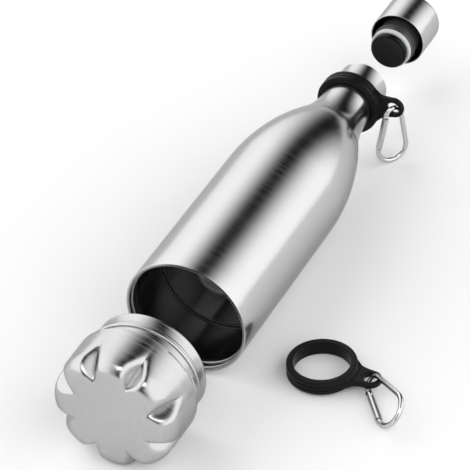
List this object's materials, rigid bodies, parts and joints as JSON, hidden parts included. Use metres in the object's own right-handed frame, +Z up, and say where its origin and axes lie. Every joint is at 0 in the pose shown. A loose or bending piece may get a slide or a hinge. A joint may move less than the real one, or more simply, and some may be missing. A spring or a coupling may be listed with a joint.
{
  "type": "vacuum flask diversion safe",
  "caption": "Bottle-shaped double-wall steel flask whose screw-off base hides a dry compartment, with stopper cap, rubber carrying ring with carabiner on the neck, and a spare ring.",
  "frame": {"origin": "centre of the mouth of the hidden compartment, in the plane of the rim", "axes": "+Y along the flask from the compartment to the drinking mouth, +Z up as the flask lies on its side, +X towards the spare ring"},
  "size_m": [0.158, 0.4, 0.07],
  "materials": {
    "brushed_steel": "finely brushed",
    "plain_steel": "smooth drawn",
    "dark_steel": "smooth, electropolished",
    "lid_steel": "brushed round its axis",
    "getter_metal": "sintered",
    "foam": "closed-cell foam",
    "silicone": "satin silicone",
    "black_plastic": "satin moulded",
    "gloss_black_plastic": "gloss moulded",
    "black_rubber": "satin moulded",
    "polished_wire": "polished",
    "spring_steel": "plain wire"
  },
  "bodies": {
    "flask": {"outer_shell": "brushed_steel", "inner_flask": "plain_steel", "vacuum_base": "dark_steel", "seal_cap": "dark_steel", "getter": "getter_metal", "compartment_collar": "dark_steel"},
    "lid_pad": {"base_cap_pad": "foam"},
    "lid_seal": {"base_cap_gasket": "silicone"},
    "base_lid": {"base_cap_shell": "lid_steel", "base_cap_cup": "lid_steel"},
    "cap_foam": {"top_cap_insulation": "foam"},
    "cap_seal": {"stopper_gasket": "silicone"},
    "top_cap": {"top_cap_shell": "brushed_steel", "top_cap_body": "black_plastic", "stopper_plug": "gloss_black_plastic"},
    "neck_ring": {"neck_ring": "black_rubber"},
    "carabiner": {"carabiner_frame": "polished_wire", "gate_rivet": "polished_wire"},
    "gate": {"carabiner_gate": "polished_wire", "gate_plunger": "spring_steel", "gate_spring": "spring_steel"},
    "spare_ring": {"spare_ring": "black_rubber"},
    "spare_carabiner": {"spare_carabiner_frame": "polished_wire", "spare_gate_rivet": "polished_wire"},
    "spare_gate": {"spare_carabiner_gate": "polished_wire", "spare_gate_plunger": "spring_steel", "spare_gate_spring": "spring_steel"}
  },
  "joints": [
    {"name": "base_lid_pull", "type": "slide", "parent": "flask", "child": "lid_pad", "axis": [0, 1, 0], "range_m": [0, 0.052]},
    {"name": "base_lid_screw", "type": "slide", "parent": "lid_pad", "child": "lid_seal", "axis": [0, 1, 0], "range_m": [0, 0.0044]},
    {"name": "base_lid_turn", "type": "hinge", "parent": "lid_seal", "child": "base_lid", "pos_m": [0, -0.0575, 0], "axis": [0, 1, 0], "range_deg": [0, 360]},
    {"name": "top_cap_pull", "type": "slide", "parent": "flask", "child": "cap_foam", "axis": [0, -1, 0], "range_m": [0, 0.06]},
    {"name": "top_cap_screw", "type": "slide", "parent": "cap_foam", "child": "cap_seal", "axis": [0, -1, 0], "range_m": [0, 0.0045]},
    {"name": "top_cap_turn", "type": "hinge", "parent": "cap_seal", "child": "top_cap", "pos_m": [0, 0.287, 0], "axis": [0, -1, 0], "range_deg": [0, 540]},
    {"name": "neck_ring_turn", "type": "hinge", "parent": "flask", "child": "neck_ring", "pos_m": [0, 0.216, 0], "axis": [0, 1, 0], "continuous": true},
    {"name": "carabiner_swing", "type": "hinge", "parent": "neck_ring", "child": "carabiner", "pos_m": [0.02757, 0.216, 0.00486], "axis": [0, 1, 0], "range_deg": [-100, 8]},
    {"name": "carabiner_gate_open", "type": "hinge", "parent": "carabiner", "child": "gate", "pos_m": [0.02431, 0.21182, -0.0024], "axis": [0.788, -0.6157, 0], "range_deg": [0, 26], "stiffness_Nm_per_rad": 0.003, "springref_deg": -28.65},
    {"name": "spare_ring_lift", "type": "slide", "parent": "flask", "child": "spare_ring", "axis": [0, 0, 1], "range_m": [0, 0.08]},
    {"name": "spare_carabiner_swing", "type": "hinge", "parent": "spare_ring", "child": "spare_carabiner", "pos_m": [0.09505, 0.0275, -0.02867], "axis": [-0.0494, 0, 0.9988], "range_deg": [-40, 90]},
    {"name": "spare_gate_open", "type": "hinge", "parent": "spare_carabiner", "child": "spare_gate", "pos_m": [0.09811, 0.01981, -0.03218], "axis": [-0.627, -0.5158, 0.5838], "range_deg": [0, 26], "stiffness_Nm_per_rad": 0.003, "springref_deg": -28.65}
  ],
  "couplings": [
    {"joint": "base_lid_screw", "follows": "base_lid_turn", "m_per_rad": 0.00070028},
    {"joint": "top_cap_screw", "follows": "top_cap_turn", "m_per_rad": 0.00047746}
  ]
}
